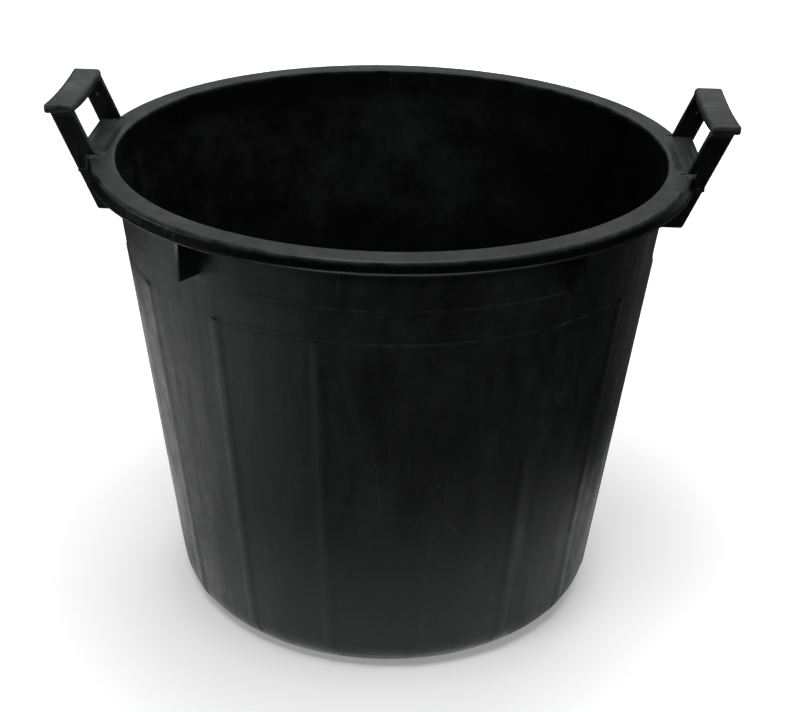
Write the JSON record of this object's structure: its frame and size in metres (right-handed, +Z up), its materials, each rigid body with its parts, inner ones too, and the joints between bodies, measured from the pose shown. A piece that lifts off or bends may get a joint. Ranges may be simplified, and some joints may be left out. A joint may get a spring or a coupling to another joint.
{
  "type": "harvest tub",
  "caption": "Tapered round tub of black plastic with a flanged rim, stop ribs below it and snap-in carrying handles on opposite sides, standing on a flat foot ring.",
  "frame": {"origin": "on the floor, under the middle of the tub", "axes": "+Z up along the tub's axis, +X from the tub's middle to the right handle, -Y to the front"},
  "size_m": [0.6718, 0.608, 0.5373],
  "materials": {
    "tub_plastic": "satin moulded",
    "handle_plastic": "satin moulded"
  },
  "bodies": {
    "root": {"tub": "tub_plastic", "handle_left": "handle_plastic", "handle_right": "handle_plastic"}
  },
  "joints": []
}
